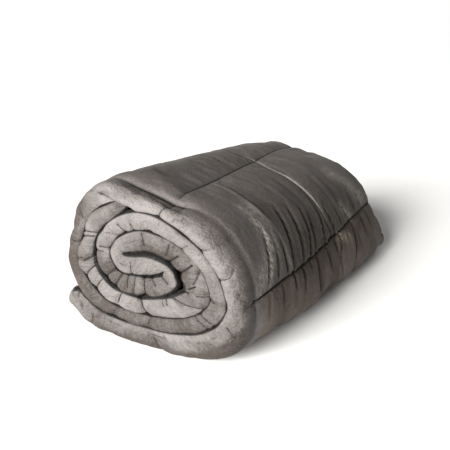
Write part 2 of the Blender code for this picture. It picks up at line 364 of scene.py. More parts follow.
# Long soft folds round the roll, with the height of each and its half width, in mm; a
# negative height is a trough.
Fold = namedtuple("Fold", "start depth_start end depth_end height width")
FOLDS = [Fold(*row) for row in (
    (450, 124, 390, 110, 2.0, 4.5),
    (400, 111, 330, 112, 2.6, 5.0),
    (450, 145, 330, 140, -1.4, 10),
    (430, 84, 320, 96, 1.2, 8),
    (420, 196, 330, 190, 1.4, 7),
    (430, 232, 340, 226, -1.2, 8),
    (420, 330, 300, 322, 1.4, 9),
    (410, 372, 300, 360, -1.2, 9),
)]

# Places where the pile is crushed and takes painted glints: a line on the band and a half width,
# in mm.
Crushed = namedtuple("Crushed", "start depth_start end depth_end width")
CRUSHED = [Crushed(*row) for row in (
    (392, 94, 345, 86, 13),
    (350, 85, 312, 62, 12),
    (320, 48, 298, 40, 8),
    (385, 398, 330, 455, 18),
    (335, 345, 312, 372, 10),
    (300, 300, 290, 335, 8),
)]

# Layers of soft lumps: a seed, the size of a lump along the band and across it in mm, and its
# height, in mm on a surface and from 0 to 1 in the lie of the pile.
Lump = namedtuple("Lump", "seed long wide height")
FACE_LUMPS = [Lump(3, 55, 45, 0.8), Lump(4, 22, 20, 0.4)]
RIM_LUMPS = [Lump(5, 34, 30, 1.8), Lump(6, 14, 12, 1.1), Lump(7, 8, 7, 0.5)]
STAND_LUMPS = [Lump(8, 110, 500, 1.2)]
EDGE_LIE = [Lump(21, 20, 12, 0.3)]
FACE_LIE = [Lump(22, 90, 20, 0.2), Lump(23, 30, 8, 0.15)]
LOWER_LIE = [Lump(24, 60, 14, 0.4)]
NOISE_START, NOISE_LENGTH, NOISE_WIDTH = 0.1, 2.2, 1.4

# Grooves of the seams: depth as a share of the look's seam depth, then how wide each is
# before the stitching and beyond it, in mm.
Groove = namedtuple("Groove", "share before beyond")
LONG_GROOVE = Groove(0.6, 2, 2)
STRONG_GROOVE = Groove(2.0, 2.6, 2.6)
MIDDLE_GROOVE = Groove(1.2, 9, 1.6)  # gentle towards the open end, a steep wall beyond

# Profiles of a gather and of a crease, from soft bells and a sharp line, counted in the depth
# and the width of the wrinkle.
Bell = namedtuple("Bell", "height place width")
GATHER_BELLS = [Bell(-0.5, 0, 1.1), Bell(0.5, 2.0, 1.2), Bell(0.35, -2.2, 1.4)]
GATHER_LINE = Bell(-0.55, 0, 0.4)
GATHER_RISE, GATHER_POWER = 1.6, 0.7  # how fast a gather deepens from its start
GATHER_END, GATHER_FALL = 1.06, 14  # where it ends, as a share of its length, and how fast
CREASE_BELL = Bell(0.6, 0, 1.8)
CREASE_LINE = Bell(0.7, 0, 0.3)
OBLIQUE_LINE = 0.4  # added to that width where a crease crosses the rows

# Patterns in the velvet: the coordinates that each is laid on, the size of a lump along X, Y
# and Z in mm (0 where it has none), and the detail, roughness and distortion of the noise.
Pattern = namedtuple("Pattern", "name on x y z detail roughness distortion")
PATTERNS = [Pattern(*row) for row in (
    # patches where the pile was brushed one way or the other
    ("patches", "object", 29.41, 29.41, 29.41, 4, 0.6, 0),
    # tufts of pile, coarser than real so that they show
    ("tufts", "object", 2.128, 2.128, 2.128, 2, 0.6, 0),
    # small shallow creases
    ("creases", "object", 5.882, 5.882, 5.882, 3, 0.55, 0.6),
    # puckers across the band's edge
    ("puckers", "rim", 4.348, 15.385, 0, 3, 0.6, 0.8),
    # crumples: thin lines on the band's edge
    ("crumples", "rim", 12.5, 12.5, 0, 2, 0.5, 0.4),
    # specks of painted glint where the pile is crushed
    ("specks", "band", 6.25, 2.083, 0, 3, 0.65, 0),
    # fine pleats that the strong seam gathers
    ("pleats", "band", 71.43, 6.667, 0, 2, 0.5, 0.25),
)]
RANGE = ("Value", "From Min", "From Max", "To Min", "To Max")


def ramp(value, start, length):
    """0 up to the start, rising evenly to 1 over the length; a negative length falls to 0."""
    return np.clip((value - start) / length, 0, 1)


def smooth(share):
    """A share from 0 to 1, levelled off at both ends."""
    return share * share * (3 - 2 * share)


def bump(offset, width):
    """1 at the middle of a bell of the given width, 0 far from it."""
    return np.exp(-((offset / width) ** 2))


def wedge(offset, width):
    """1 on a sharp line, falling away fast on both its sides."""
    return np.exp(-np.abs(offset) / width)


def end_inset(depth):
    """Distance from the nearer end of the roll."""
    return np.minimum(depth, ROLL_LENGTH - depth)


def soft_noise(layers, along, depth):
    """Smooth lumps over the band: the sum of the given layers."""
    total = 0
    for layer in layers:
        long, wide = layer.long * MM, layer.wide * MM
        size = int(NOISE_LENGTH / long) + 3, int(NOISE_WIDTH / wide) + 3
        values = np.random.default_rng(layer.seed).uniform(-1, 1, size)
        a, b = (along + NOISE_START) / long, (depth + NOISE_START) / wide
        i, j = np.floor(a).astype(int), np.floor(b).astype(int)
        u, v = smooth(a - i), smooth(b - j)
        near = values[i, j] * (1 - u) + values[i + 1, j] * u
        far = values[i, j + 1] * (1 - u) + values[i + 1, j + 1] * u
        total = total + layer.height * (near * (1 - v) + far * v)
    return total


def read_table(table, at):
    """Each further column of a table, read at places along its first column."""
    places, *columns = np.array(table).T
    return [np.interp(at, places, column) for column in columns]


def eased(at, table):
    """A two-column table read at the given places, levelling off at each of its rows."""
    places, values = np.array(table, float).T
    k = np.clip(np.searchsorted(places, at) - 1, 0, len(places) - 2)
    share = smooth(ramp(at, places[k], places[k + 1] - places[k]))
    return values[k] + (values[k + 1] - values[k]) * share


def smooth_curve(points, at):
    """A centripetal spline through the points, read at fractional point numbers."""
    points = np.vstack([2 * points[0] - points[1], points, 2 * points[-1] - points[-2]])
    span = np.sqrt(np.linalg.norm(np.diff(points, axis=0), axis=1))[:, None]
    i = np.clip(np.floor(at).astype(int), 0, len(points) - 4)
    p0, p1, p2, p3 = (points[i + k] for k in range(4))
    d0, d1, d2 = (span[i + k] for k in range(3))
    leave = d1 * ((p1 - p0) / d0 - (p2 - p0) / (d0 + d1) + (p2 - p1) / d1)
    arrive = d1 * ((p2 - p1) / d1 - (p3 - p1) / (d1 + d2) + (p3 - p2) / d2)
    t = (at - i)[:, None]
    return (
        p1 * (1 - 3 * t**2 + 2 * t**3)
        + leave * (t - 2 * t**2 + t**3)
        + p2 * (3 * t**2 - 2 * t**3)
        + arrive * (t**3 - t**2)
    )


def wound_post(direction, outer, inner):
    """The band's outer and inner face where it is wound between two gaps."""
    angle = radians(direction)
    away = np.array([cos(angle), sin(angle)])
    outer_face = CORE_POINT + away * (outer * MM - TURN_GAP / 2)
    inner_face = CORE_POINT + away * (inner * MM + TURN_GAP / 2)
    return outer_face, inner_face


def band_posts():
    """The band's outer and inner face from the lip to its inner end, a pair for each row."""
    body = WINDING[:-TAIL_ROWS]
    tail = WINDING[-TAIL_ROWS:]
    half_gap = TURN_GAP / 2 / MM
    outer_leg = [wound_post(w.direction, w.outside + half_gap, w.gap_1) for w in WINDING]
    outer_leg += [wound_post(w.direction, w.gap_1, w.gap_2) for w in body]
    outer_leg += [wound_post(w.direction, w.gap_2, w.gap_3) for w in tail]
    core = [(CORE_POINT + np.array(c[:2]) * MM, CORE_POINT + np.array(c[2:]) * MM) for c in CORE]
    # beyond the fold the leg runs the other way, with its faces changed over
    inner_leg = [wound_post(w.direction, w.gap_2, w.gap_3) for w in reversed(body)]
    inner_leg += [wound_post(w.direction, w.gap_1, w.gap_2) for w in reversed(tail)]
    posts = outer_leg + core + [(inner, outer) for outer, inner in inner_leg]
    return np.array([p[0] for p in posts]), np.array([p[1] for p in posts])


def band_stations():
    """Stations along the band: outer face, inner face and distance from the lip."""
    outer_posts, inner_posts = band_posts()
    at = np.linspace(0, len(outer_posts) - 1, SAMPLES)
    outer = smooth_curve(outer_posts, at)
    inner = smooth_curve(inner_posts, at)
    across = outer - inner
    turned = np.abs(np.diff(np.unwrap(np.arctan2(across[:, 1], across[:, 0]))))
    outer_step = np.linalg.norm(np.diff(outer, axis=0), axis=1)
    inner_step = np.linalg.norm(np.diff(inner, axis=0), axis=1)
    distance = np.concatenate([[0], np.cumsum((outer_step + inner_step) / 2)])
    # fine stations at the creases that aren't oblique, and at the two upper seams
    spans = []
    for c in CREASES:
        low, high = sorted((c.start * MM, c.end * MM))
        if high - low < OBLIQUE_FROM:
            spans.append((low - CREASE_MARGIN, high + CREASE_MARGIN))
    for seam in (FIRST_SEAM + SEAM_PITCH, FIRST_SEAM + 2 * SEAM_PITCH):
        far = FIRST_SEAM + (seam - FIRST_SEAM) / (1 - SEAM_DRIFT)
        spans.append((seam - SEAM_MARGIN, far + SEAM_MARGIN))
    step = np.full(SAMPLES - 1, STATION_STEP)
    for low, high in spans:
        step[(distance[1:] > low) & (distance[1:] < high)] = FINE_STEP
    effort = np.hypot(np.maximum(outer_step, inner_step) / step, turned / STATION_TURN)
    effort = np.concatenate([[0], np.cumsum(effort)])
    even = np.linspace(0, effort[-1], int(round(effort[-1])) + 1)
    chosen = np.round(np.interp(even, effort, np.arange(SAMPLES))).astype(int)
    return outer[chosen], inner[chosen], distance[chosen]


def rounded_end(outer, inner, length, side, steps=7):
    """Stations that round off one end of the band; side is -1 at the lip, 1 at the tail."""
    middle, half = (outer + inner) / 2, (outer - inner) / 2
    across = half / np.linalg.norm(half)
    onward = np.array([-across[1], across[0]]) * side
    angles = [radians(90 * (k + 1) / steps) for k in range(steps)]
    ends = [middle + onward * length * sin(a) for a in angles]
    halves = [half * cos(a) for a in angles]
    if side < 0:
        ends, halves = ends[::-1], halves[::-1]
    return np.array(ends), np.array(halves)


def row_depths():
    """Depths of the rows of a face, close together at its ends and along the seams round it."""
    depths, depth = [], FRONT_DEPTH
    while depth < ROLL_LENGTH - 3 * FRONT_DEPTH:
        depths.append(depth)
        least = LEAST_STEP if depth < ROLL_LENGTH / 2 else FAR_LEAST_STEP
        from_end = least + ROW_GROWTH * end_inset(depth)
        to_seam = min(abs(depth - seam - BEYOND_SEAM) for seam in (BORDER_SEAM, MIDDLE_SEAM))
        depth += min(FACE_STEP, from_end, 0.8 * FINE_STEP + SEAM_GROWTH * to_seam)
    return np.array(depths + [ROLL_LENGTH - FRONT_DEPTH])


def ring_rows():
    """Side, depth and place on the flat of the edge, for every row of a ring."""
    face = row_depths()
    front = np.linspace(-1, 1, FRONT_ROWS + 2)[1:-1]
    far = np.linspace(1, -1, FAR_ROWS + 2)[1:-1]
    flat = np.concatenate([np.full(len(face), 1), far, np.full(len(face), -1), front])
    ends = np.full(len(far), ROLL_LENGTH), np.zeros(len(front))
    depth = np.concatenate([face, ends[0], face[::-1], ends[1]])
    return np.where(flat >= 0, 1, -1)[None], depth[None], flat[None]


def settled(x, z, depth):
    """The roll as it lies: lower and wider at the back, and pressed flat underneath."""
    height, width, spread = read_table(LIES, depth / MM)
    x, z = x * width, z * height
    to_right = smooth(ramp(x, SPREAD_FROM, SPREAD_TO - SPREAD_FROM))
    out = spread + eased(depth / MM, FEET)
    x = x + out * MM * bump(z - SPREAD_Z, SPREAD_HEIGHT) * to_right
    return x, z - PRESSED_FLAT


def edge_sizes(along):
    """The edge table read at distances along the band, in metres."""
    return Edge(along, *[size * MM for size in read_table(EDGES, along / MM)])


def seam_place(along, depth):
    """Distance along the band, drawn in towards the lip at the back as its seams are."""
    return along - (along - FIRST_SEAM) * SEAM_DRIFT * depth / ROLL_LENGTH


def past_strong_seam(along, depth):
    """Distance beyond the strong seam, along the band."""
    return seam_place(along, depth) - FIRST_SEAM - SEAM_PITCH


def seam_bow(along):
    """How far back of its mean depth the middle seam runs."""
    return np.minimum(SEAM_BOW * ((along - SEAM_BOW_AT) / SEAM_BOW_SPAN) ** 2, MOST_BOW)


def seam_distances(along, depth):
    """Distance from the nearest seam along the roll, and from the nearest one round it."""
    to_middle = np.abs(depth - seam_bow(along) - MIDDLE_SEAM)
    along = seam_place(along, depth)
    to_long = np.abs((along - FIRST_SEAM + SEAM_PITCH / 2) % SEAM_PITCH - SEAM_PITCH / 2)
    to_round = np.minimum(np.abs(depth - BORDER_SEAM), to_middle)
    return to_long, to_round


def groove_depth(groove, offset, look):
    """How deep a seam's groove is at an offset from its stitching."""
    width = np.where(offset < 0, groove.before, groove.beyond) * MM
    return groove.share * look.seam_depth * wedge(offset, width)


def quilt_relief(along, depth, look):
    """Height of the outer face above its plain curve, from its puffs and seams."""
    to_long, to_round = seam_distances(along, depth)
    puff = 1 - 0.5 * wedge(to_long, PUFF_ALONG) - 0.5 * wedge(to_round, PUFF_ROUND)
    height = look.puff_height * (puff - PUFF_DROP)
    height = height - groove_depth(LONG_GROOVE, to_long, look)
    strong = groove_depth(STRONG_GROOVE, past_strong_seam(along, depth), look)
    height = height - strong * ramp(depth, STRONG_FROM, STRONG_RISE)
    height = height - groove_depth(MIDDLE_GROOVE, depth - seam_bow(along) - MIDDLE_SEAM, look)
    edge, offset = edge_sizes(along), depth - BORDER_SEAM
    border = np.where(offset < 0, wedge(offset, BORDER_WIDTH), bump(offset, BORDER_WIDTH))
    sunk = 1 - smooth(ramp(offset, SINK_FROM, SINK_RISE))
    return height - edge.border * border - edge.sink * sunk


def line_distance(along, depth, line):
    """Distance from a line on the outer face, how far along it a point lies, and its side."""
    run, climb = (line.end - line.start) * MM, (line.depth_end - line.depth_start) * MM
    a, d = along - line.start * MM, depth - line.depth_start * MM
    share = (a * run + d * climb) / (run * run + climb * climb)
    nearest = np.clip(share, 0, 1)
    offset = (d * run - a * climb) / np.hypot(run, climb) * np.sign(run)
    return np.hypot(a - nearest * run, d - nearest * climb), share, offset


def gathers(along, depth, look):
    """Wrinkles along the strong seam and long folds, as height above the face."""
    height = np.zeros(np.broadcast(along, depth).shape)
    for g in GATHERS:
        _, share, offset = line_distance(along, depth, g)
        reach = np.clip(share * GATHER_RISE, 0, 1) ** GATHER_POWER
        reach = reach * np.clip((GATHER_END - share) * GATHER_FALL, 0, 1)
        offset = offset / (g.width * MM)
        profile = GATHER_LINE.height * wedge(offset, GATHER_LINE.width)
        for bell in GATHER_BELLS:
            profile = profile + bell.height * bump(offset - bell.place, bell.width)
        height = height + g.deep * MM * look.wrinkle_strength * reach * profile
    for fold in FOLDS:
        _, share, offset = line_distance(along, depth, fold)
        # a fold fades out a little beyond its ends
        reach = np.clip(share * 3 + 0.3, 0, 1) * np.clip((1.2 - share) * 4, 0, 1)
        height = height + fold.height * MM * reach * bump(offset, fold.width * MM)
    return height


def rim_relief(along, across, distances, thick, look):
    """Depth of the creases; distances and thick are the stations' own, to place their ends."""
    drawn = np.zeros(np.broadcast(along, across).shape)
    for c in CREASES:
        ends = []
        for place, share in ((c.start * MM, c.across_start), (c.end * MM, c.across_end)):
            beyond = np.sign(share) * PAST_FACE if abs(share) >= 1 else 0
            ends.append((place, np.interp(place, distances, thick) * share + beyond))
        start, end = np.array(ends)
        line = end - start
        a, b = along - start[0], across - start[1]
        share = np.clip((a * line[0] + b * line[1]) / (line @ line), 0, 1)
        away = np.hypot(a - share * line[0], b - share * line[1]) / (c.width * MM)
        sharp = CREASE_LINE.width + OBLIQUE_LINE * abs(line[0]) / np.hypot(*line)
        cut = CREASE_BELL.height * bump(away, CREASE_BELL.width)
        cut = cut + CREASE_LINE.height * wedge(away, sharp)
        drawn = np.maximum(drawn, c.depth * MM * cut)
    return drawn * look.crease_strength


def rim_bulge(along, side, place):
    """How far the rims bulge into the gaps, which all but closes them."""
    at = along / MM
    inner = np.maximum(ramp(at, start=600, length=80), ramp(place, start=0.1, length=-0.9))
    over_core = bump(at - CORE_BULGE_AT, width=70) - bump(at - CORE_BULGE_AT, width=15)
    bulge = BULGE + INNER_BULGE * ramp(at, start=650, length=60)
    bulge = bulge + CORE_BULGE * over_core * (side > 0)
    return bulge * smooth(inner)


def blanket_grid(look):
    """The whole surface as a grid of stations by rows, with what the mesh needs at each point.

    That is distance along the band, side, depth, lie of the pile with its painted light and
    shade, and width across the rim.
    """
    outer, inner, distance = band_stations()
    lip, lip_half = rounded_end(outer[0], inner[0], LIP_LENGTH, -1)
    tail, tail_half = rounded_end(outer[-1], inner[-1], TAIL_LENGTH, 1)
    middle = np.vstack([lip, (outer + inner) / 2, tail])
    half = np.vstack([lip_half, (outer - inner) / 2, tail_half])
    along = np.concatenate([
        distance[0] - np.linspace(LIP_LENGTH, 0, len(lip), endpoint=False),
        distance,
        distance[-1] + np.linspace(TAIL_LENGTH, 0, len(tail), endpoint=False)[::-1],
    ])[:, None]
    anchor = middle.copy()
    anchor[:len(lip)], anchor[-len(tail):] = middle[len(lip)], middle[-len(tail) - 1]
    thick = np.linalg.norm(half, axis=1)[:, None]
    normal = half / np.maximum(thick, TINY)
    full = np.clip(thick / FULL_THICKNESS, 0, 1)

    # across the band: flat edges with rounded corners, rolled far over on the outer turn
    side, depth, flat = ring_rows()
    near = depth < ROLL_LENGTH / 2
    edge = edge_sizes(along)
    length = np.where(side > 0, edge.length * np.where(near, 1, FAR_ROUNDING), RIM_DEPTH)
    power = RIM_POWER + (LONG_POWER - RIM_POWER) * ramp(length, RIM_DEPTH, LONG_RISE)
    front = -edge.shift / MM * thick * np.where(near, 1, FAR_SHIFT)
    inset = end_inset(depth)
    rounding = np.clip(np.maximum(inset, FRONT_DEPTH) / length, 0, 1)
    rise = (1 - (1 - rounding) ** power) ** (1 / power) * np.abs(flat)
    on_flat = length * (1 - (1 - rise**power) ** (1 / power))
    inset = np.where(np.abs(flat) < 1, on_flat, inset)
    depth = np.where(near, inset, ROLL_LENGTH - inset)
    across = front + side * rise * (thick - side * front)
    corner = np.sqrt(1 - (1 - np.clip(inset / (2 * RIM_DEPTH), 0, 1)) ** 2)
    reach = CORNER_SHARE + (1 - CORNER_SHARE) * corner
    place = anchor[:, None] + (middle - anchor)[:, None] * reach[..., None]
    place = place + across[..., None] * normal[:, None]

    # outward, across the band and along the roll
    run_across = np.roll(across, -1, axis=1) - np.roll(across, 1, axis=1)
    run_deep = np.roll(depth, -1, axis=1) - np.roll(depth, 1, axis=1)
    run = np.maximum(np.hypot(run_across, run_deep), TINY)
    sideways, lean = run_deep / run, run_across / run

    # relief on the visible outer face of the outer turn
    face = (side > 0) * ramp(along, VISIBLE_LENGTH, -FACE_FADE)
    face = face * np.clip(inset / FACE_INSET, 0, 1)
    relief = quilt_relief(along, depth, look) + gathers(along, depth, look)
    relief = face * (relief + MM * soft_noise(FACE_LUMPS, along, depth))
    # relief on the rims; the far end takes its creases from stations further on
    share = across / np.maximum(thick, 1 * MM)
    unrolled = across + side * UNROLLED * inset
    drawn = rim_relief(along, unrolled, along[:, 0], thick[:, 0], look)
    drawn = np.where(near, drawn, FAR_CREASES * np.roll(drawn, FAR_STATIONS, axis=0))
    lumps = MM * soft_noise(RIM_LUMPS, along, unrolled + NOISE_SHIFT)
    lumps = lumps + rim_bulge(along, side, share)
    relief = relief + wedge(np.maximum(inset - RIM_DEPTH, 0), RIM_FADE) * (lumps - drawn)
    relief = relief * full

    ground = ramp(place[..., 1], GROUND_FROM, PRESSED_HEIGHT)
    place = place + (relief * sideways * ground)[..., None] * normal[:, None]
    x, z = settled(place[..., 0], place[..., 1], depth)
    stand = read_table(STANDS, along / MM)[0] + soft_noise(STAND_LUMPS, along, 0 * along)
    stand = stand * MM * full * np.where(near, 1, -1) * wedge(inset, STAND_FADE)
    y = depth - ROLL_LENGTH / 2 - relief * lean - stand
    grid = np.stack([x + CORE_X, y, np.maximum(z, 0)], axis=-1)
    return grid, along, side, depth, pile_and_painted_light(along, depth, across, share), unrolled


def pile_and_painted_light(along, depth, across, share):
    """Painted light and shade with the lie of the pile, from -1 dark to 1 light, for every
    point.

    share is the place across the band, from -1 at its inner face to 1 at its outer one.
    """
    def between(start, rise, end, fall):
        """1 along a length of the band, fading in from its start and out to its end, in mm."""
        return ramp(at, start, rise) * ramp(at, end, -fall)

    at = along / MM
    edge = read_table(PILE_AND_PAINTED_LIGHT, at)[0]
    # painted shade: the lowest turn rolls over, away from the light
    rolled = ramp(share, start=-0.1, length=0.5) * between(start=10, rise=60, end=270, fall=50)
    edge = edge - rolled * (0.6 + bump(at - 225, 60))
    # painted light: a narrow strip along its inner side, where it catches the light
    strip = ramp(share, start=-0.45, length=-0.15)
    strip = strip * between(start=40, rise=40, end=280, fall=50)
    # painted light and shade: the outer turn is lighter beside the gap than where it rolls over
    beside = ramp(share, start=0.1, length=-0.6)
    beside = beside * between(start=255, rise=30, end=650, fall=40)
    edge = edge + 0.5 * strip + 0.5 * beside
    # painted shade and light: the top of the core's band is dark beside the gap over the core,
    # and light above
    edge = edge - 0.32 * np.clip(share / 0.7, -1, 1) * bump(at - 1450, 50)
    # painted shade beside a crease: darker close to it, and lighter on one side than on the
    # other
    rng = np.random.default_rng(12)
    for c in CREASES:
        if abs(c.end - c.start) < OBLIQUE_FROM / MM:
            beyond = at - (c.start + c.end) / 2
            change = rng.uniform(-0.13, 0.13) * np.tanh(beyond / 1.5) * bump(beyond, 13)
            edge = edge + change - 0.22 * bump(beyond, 3.5)
    edge = edge + soft_noise(EDGE_LIE, along, across + NOISE_SHIFT)
    # the outer face: darker at the back, painted shade about the strong seam where it gathers,
    # lighter above and below it
    strong = past_strong_seam(along, depth) / MM
    back = ramp(depth, 50 * MM, 150 * MM)
    face = -0.15 - 0.2 * back - 0.5 * bump(strong, 45) * back + 0.22 * ramp(at, 350, 60)
    face = face + 0.3 * bump(depth - 45 * MM, 35 * MM) * ramp(at, 400, -80)
    face = face + (0.26 - 0.1 * back) * ramp(strong, 0, -30)
    face = face + soft_noise(FACE_LIE, along, depth)
    face = face + ramp(strong, 0, -20) * soft_noise(LOWER_LIE, along, depth)
    at_edge = ramp(end_inset(depth), 32 * MM, -24 * MM)
    return face + (edge - face) * at_edge


def crushed_pile(along, side, depth):
    """1 on flattened pile that takes painted glints, 0 elsewhere."""
    crushed_glint = np.zeros(np.broadcast(along, depth).shape)
    for c in CRUSHED:
        away, _, _ = line_distance(along, depth, c)
        crushed_glint = np.maximum(crushed_glint, bump(away, c.width * MM))
    return crushed_glint * (side > 0)


def read_points(mesh, name):
    """Places or normals of the mesh's vertices, a row for each."""
    values = np.empty(len(mesh.vertices) * 3)
    mesh.vertices.foreach_get(name, values)
    return values.reshape(-1, 3)


def fold_depth(mesh):
    """How hollow the surface is at each point: above 0 in a fold, below 0 on a ridge."""
    count = len(mesh.vertices)
    points, normals = read_points(mesh, "co"), read_points(mesh, "normal")
    ends = np.empty(len(mesh.edges) * 2, dtype=np.int32)
    mesh.edges.foreach_get("vertices", ends)
    ends = ends.reshape(-1, 2)
    here, there = np.vstack([ends, ends[:, ::-1]]).T
    line = points[there] - points[here]
    length = np.maximum(np.linalg.norm(line, axis=1), TINY)
    rise = (line * normals[here]).sum(axis=1) / length * (length < FOLD_REACH)
    number = np.maximum(np.bincount(here, minlength=count), 1)
    hollow = np.bincount(here, rise, minlength=count) / number
    around = np.bincount(here, hollow[there], minlength=count) / number
    return (hollow + around) / 2


def hidden_faces(along, side, depth):
    """Which points of the grid no one sees: inside the roll, away from its ends."""
    inside = (along > VISIBLE_LENGTH) | (side < 0)
    return inside & (end_inset(depth) > HIDDEN_FROM)


def grid_mesh(name, grid, along, side, depth):
    """One mesh from the grid, with fewer points on the hidden faces."""
    stations, rows = grid.shape[:2]
    hidden = hidden_faces(along, side, depth)
    keep = ~hidden | (np.arange(rows)[None] % COARSE_ROWS == 0)
    faces = []
    for s in range(stations - 1):
        kept = np.flatnonzero(keep[s] & keep[s + 1])
        for a, b in zip(kept, np.append(kept[1:], kept[0] + rows)):
            ring = [p % rows for p in range(a, b + 1)]
            here = [s * rows + p for p in ring if keep[s, p]]
            there = [(s + 1) * rows + p for p in ring if keep[s + 1, p]]
            faces.append(here + there[::-1])
    mesh = bpy.data.meshes.new(name)
    mesh.from_pydata([tuple(p) for p in grid.reshape(-1, 3)], [], faces)
    uv = mesh.uv_layers.new(name="band")
    loops = np.empty(len(mesh.loops), dtype=np.int32)
    mesh.loops.foreach_get("vertex_index", loops)
    wide = seam_place(along, depth).ravel()[loops]
    deep = (side * (depth - seam_bow(along) + FACE_OFFSET)).ravel()[loops]
    uv.data.foreach_set("uv", np.column_stack([wide, deep]).ravel())
    return mesh


def cloth_weights(grid, along, side, depth):
    """How firmly each point is held as the cloth swells, and how much velvet is spare there."""
    inset = end_inset(depth)
    to_long, to_round = seam_distances(along, depth)
    face = (side > 0) & (along < VISIBLE_LENGTH)
    sewn = face * np.maximum(bump(to_long, SEWN_WIDTH), bump(to_round, SEWN_WIDTH)) * SEWN_HOLD
    deep = np.where(face, 0, ramp(inset, HELD_DEPTH, HELD_RISE))
    low = grid[..., 2] < ON_GROUND
    held = np.maximum.reduce([sewn, deep, hidden_faces(along, side, depth), low])
    gathered = bump(past_strong_seam(along, depth), LOOSE_WIDTH)
    loose = face * gathered * np.clip(depth / LOOSE_RISE, 0, 1)
    return held, np.maximum(loose, RIM_LOOSE * (inset < RIM_LOOSE_DEPTH))


def weight_group(blanket, name, values):
    """A vertex group whose weights are the values, in steps of a tenth."""
    group = blanket.vertex_groups.new(name=name)
    steps = np.round(np.clip(values, 0, 1), 1)
    for weight in np.unique(steps):
        group.add(np.flatnonzero(steps == weight).tolist(), float(weight), "REPLACE")


def swell(blanket, held, loose, look):
    """Blows the velvet out a little, as filling does, with the seams held down."""
    mesh = blanket.data
    before = read_points(mesh, "co")
    weight_group(blanket, "held", held)
    weight_group(blanket, "loose", loose)
    cloth = blanket.modifiers.new("swell", "CLOTH")
    for name, value in CLOTH.items():
        setattr(cloth.settings, name, value)
    cloth.settings.uniform_pressure_force = look.pressure
    cloth.settings.shrink_min = -look.least_ease
    cloth.settings.shrink_max = -look.ease
    cloth.settings.effector_weights.gravity = 0
    cloth.collision_settings.use_collision = False
    cloth.point_cache.frame_start, cloth.point_cache.frame_end = 1, SWELL_FRAMES
    scene = bpy.context.scene
    for number in range(1, SWELL_FRAMES + 1):
        scene.frame_set(number)
    swollen = blanket.evaluated_get(bpy.context.evaluated_depsgraph_get())
    move = read_points(swollen.to_mesh(), "co") - before
    swollen.to_mesh_clear()
    blanket.modifiers.remove(cloth)
    scene.frame_set(1)
    size = np.linalg.norm(move, axis=1)
    placed = before + move * (np.minimum(size, MOST_MOVE) / np.maximum(size, TINY))[:, None]
    placed[:, 2] = np.maximum(placed[:, 2], 0)
    mesh.vertices.foreach_set("co", placed.ravel())
    mesh.update()


def srgb(code):
    """An sRGB hex colour as linear red, green, blue and alpha."""
    parts = [int(code[i:i + 2], 16) / 255 for i in (1, 3, 5)]
    return (*[c / 12.92 if c <= 0.04045 else ((c + 0.055) / 1.055) ** 2.4 for c in parts], 1)


def add_node(tree, kind, sockets=None, **settings):
    """One node with its settings; each socket takes a value, or a link from an output."""
    node = tree.nodes.new("ShaderNode" + kind)
    for name, value in settings.items():
        setattr(node, name, value)
    for name, value in (sockets or {}).items():
        if isinstance(value, bpy.types.NodeSocket):
            tree.links.new(value, node.inputs[name])
        else:
            node.inputs[name].default_value = value
    return node


